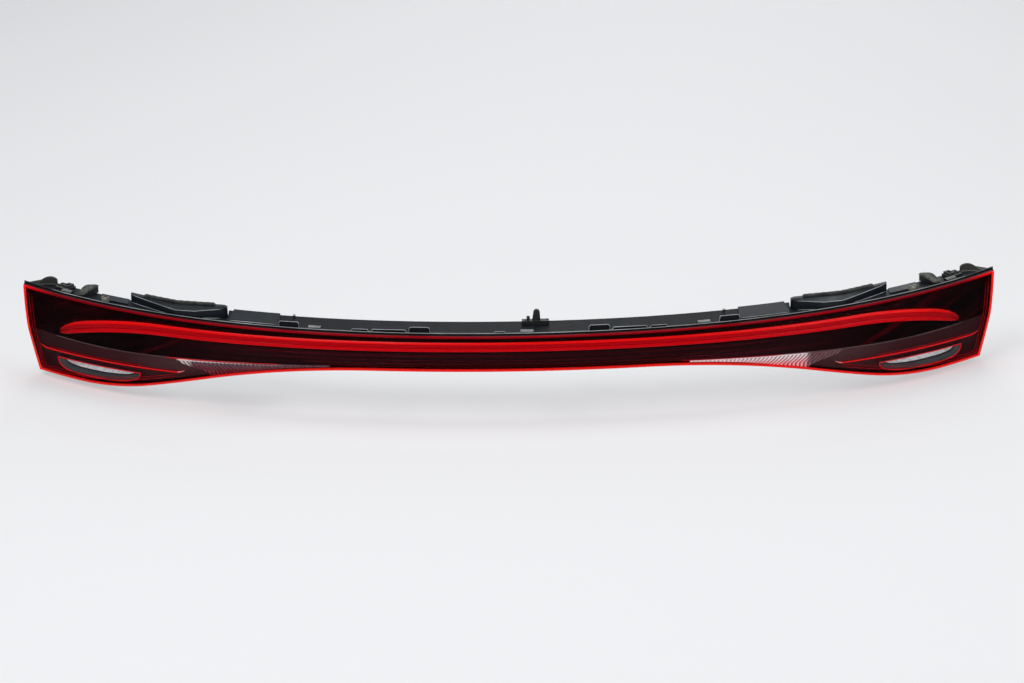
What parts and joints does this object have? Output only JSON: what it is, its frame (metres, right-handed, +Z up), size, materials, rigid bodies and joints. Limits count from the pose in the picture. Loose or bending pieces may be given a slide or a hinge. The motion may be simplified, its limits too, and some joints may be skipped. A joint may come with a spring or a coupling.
{
  "type": "tail light cluster",
  "caption": "Full-width rear light bar with a bowed red lens, a glowing band, reversing lamps in flared ends and a moulded housing.",
  "frame": {"origin": "foot of the centre locating pin, on the middle of the housing's back", "axes": "+X along the lamp to the right as seen from the lens side, +Y out of the back towards the vehicle, +Z up"},
  "size_m": [1.2726, 0.24, 0.1278],
  "materials": {
    "red_lens": "polished, deep red",
    "housing_black": "moulded, fine grain",
    "bezel_black": "polished",
    "band_red": "satin, lit",
    "white_reflector": "bright white",
    "flex_board": "coated film",
    "diode": "cast",
    "accent_red": "polished",
    "clear_optic": "clear, ribbed",
    "smoke_window": "smoked, clear",
    "silver_bowl": "metallised",
    "circuit_board": "solder-resist coated",
    "die_cast": "die-cast",
    "bracket_black": "moulded",
    "plated_steel": "zinc plated",
    "connector_black": "moulded",
    "contact_brass": "plated",
    "seal_foam": "closed-cell foam",
    "shroud_black": "moulded, dusty",
    "dusty_foam": "foam with dust",
    "hood_grey": "moulded, dusty",
    "pale_plastic": "moulded",
    "spring_steel": "bright"
  },
  "bodies": {
    "root": {"outer_lens": "red_lens", "rear_housing": "housing_black", "inner_bezel": "bezel_black", "band_light_guide": "band_red", "band_reflector_centre": "white_reflector", "band_reflector_left": "white_reflector", "band_reflector_right": "white_reflector", "led_board_centre": "flex_board", "led_board_left": "flex_board", "led_board_right": "flex_board", "band_leds": "diode", "accent_guide_left": "accent_red", "accent_guide_right": "accent_red", "ribbed_optic_left": "clear_optic", "ribbed_optic_right": "clear_optic", "reverse_window_left": "smoke_window", "reverse_window_right": "smoke_window", "reverse_reflector_left": "silver_bowl", "reverse_reflector_right": "silver_bowl", "reverse_board_left": "circuit_board", "reverse_board_right": "circuit_board", "reverse_heat_sink_left": "die_cast", "reverse_heat_sink_right": "die_cast", "module_case": "die_cast", "module_lid": "bracket_black", "module_board": "circuit_board", "board_screws": "plated_steel", "connector_socket": "connector_black", "connector_pins": "contact_brass", "mounting_studs": "plated_steel", "stud_seals": "seal_foam", "vent_cap_left": "bracket_black", "vent_cap_right": "bracket_black", "top_shroud_left": "shroud_black", "top_shroud_right": "shroud_black", "shroud_foam_left": "dusty_foam", "shroud_foam_right": "dusty_foam", "side_bracket_left": "bracket_black", "side_bracket_right": "bracket_black", "bracket_foam_left": "dusty_foam", "bracket_foam_right": "dusty_foam", "end_hood_left": "hood_grey", "end_hood_right": "hood_grey", "inner_plate_left": "shroud_black", "inner_plate_right": "shroud_black", "outer_plate_left": "shroud_black", "outer_plate_right": "shroud_black", "pale_plug_left": "pale_plastic", "pale_plug_right": "pale_plastic", "clip_block_left": "bracket_black", "clip_block_right": "bracket_black", "spring_clips": "spring_steel", "centre_locator": "bracket_black", "edge_pins": "plated_steel", "locating_pin": "plated_steel"}
  },
  "joints": []
}
